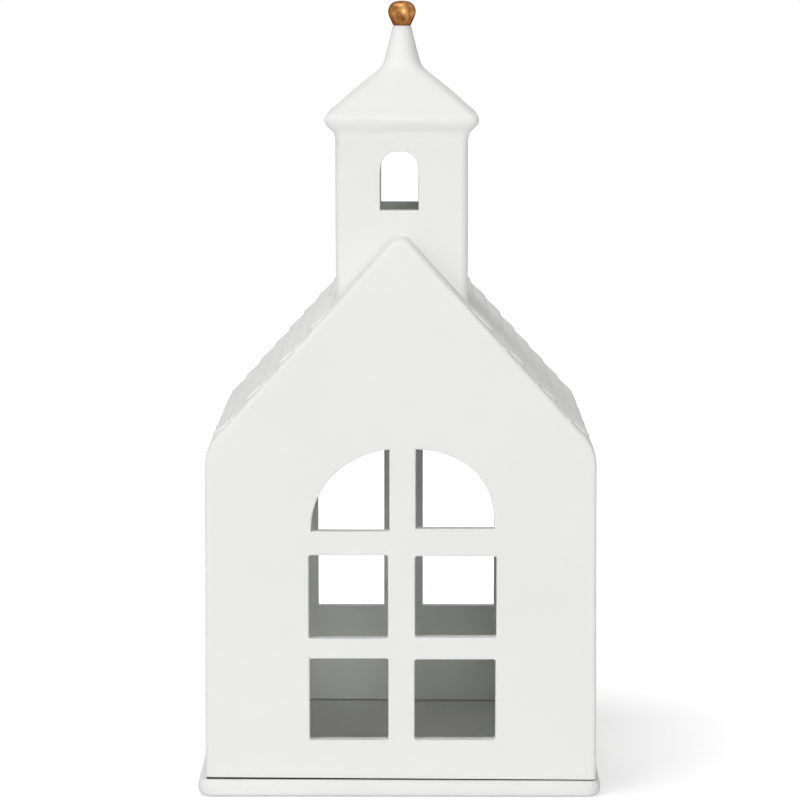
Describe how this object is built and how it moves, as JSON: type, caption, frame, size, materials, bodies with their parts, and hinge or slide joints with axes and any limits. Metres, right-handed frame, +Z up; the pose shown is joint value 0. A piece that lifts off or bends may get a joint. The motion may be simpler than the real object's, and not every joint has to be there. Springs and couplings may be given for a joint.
{
  "type": "chapel lantern",
  "caption": "White porcelain chapel lantern with arched window, shingled roof, bell tower and gilded finial, on a base plate with a battery lamp.",
  "frame": {"origin": "middle of the base plate's underside", "axes": "+Z up to the ball, +X to the viewer's right, the windowed front faces -Y"},
  "size_m": [0.1274, 0.1186, 0.2494],
  "materials": {
    "porcelain": "matt unglazed white porcelain",
    "gilding": "brushed gold-bronze paint, uneven",
    "moulded_plastic": "fine satin moulding",
    "dark_plastic": "satin",
    "board_laminate": "lacquered laminate",
    "plated_strip": "bright nickel plating",
    "cell_steel": "satin nickel-plated steel",
    "clear_resin": "clear epoxy with a warm tint"
  },
  "bodies": {
    "base": {"base_plate": "porcelain", "lamp_case": "moulded_plastic", "lamp_case_floor": "moulded_plastic", "coin_cell": "cell_steel", "circuit_board": "board_laminate", "positive_contact": "plated_strip", "negative_contact": "plated_strip", "resistor": "dark_plastic", "switch_case": "dark_plastic", "led_lamp": "clear_resin", "led_lead_plus": "plated_strip", "led_lead_minus": "plated_strip", "case_screw_1": "plated_strip", "case_screw_2": "plated_strip", "case_screw_3": "plated_strip"},
    "chapel": {"nave_shell": "porcelain", "bell_tower": "porcelain", "spire_cap": "porcelain", "finial_ball": "gilding"},
    "cover": {"battery_cover": "moulded_plastic"},
    "slider": {"switch_knob": "moulded_plastic"}
  },
  "joints": [
    {"name": "chapel_lift", "type": "slide", "parent": "base", "child": "chapel", "axis": [0, 0, 1], "range_m": [0, 0.06]},
    {"name": "battery_cover_twist", "type": "hinge", "parent": "base", "child": "cover", "pos_m": [-0.0052, -0.03145, 0.0011], "axis": [0, 0, -1], "range_deg": [0, 30]},
    {"name": "lamp_switch_slide", "type": "slide", "parent": "base", "child": "slider", "axis": [0, 1, 0], "range_m": [0, 0.002]}
  ]
}
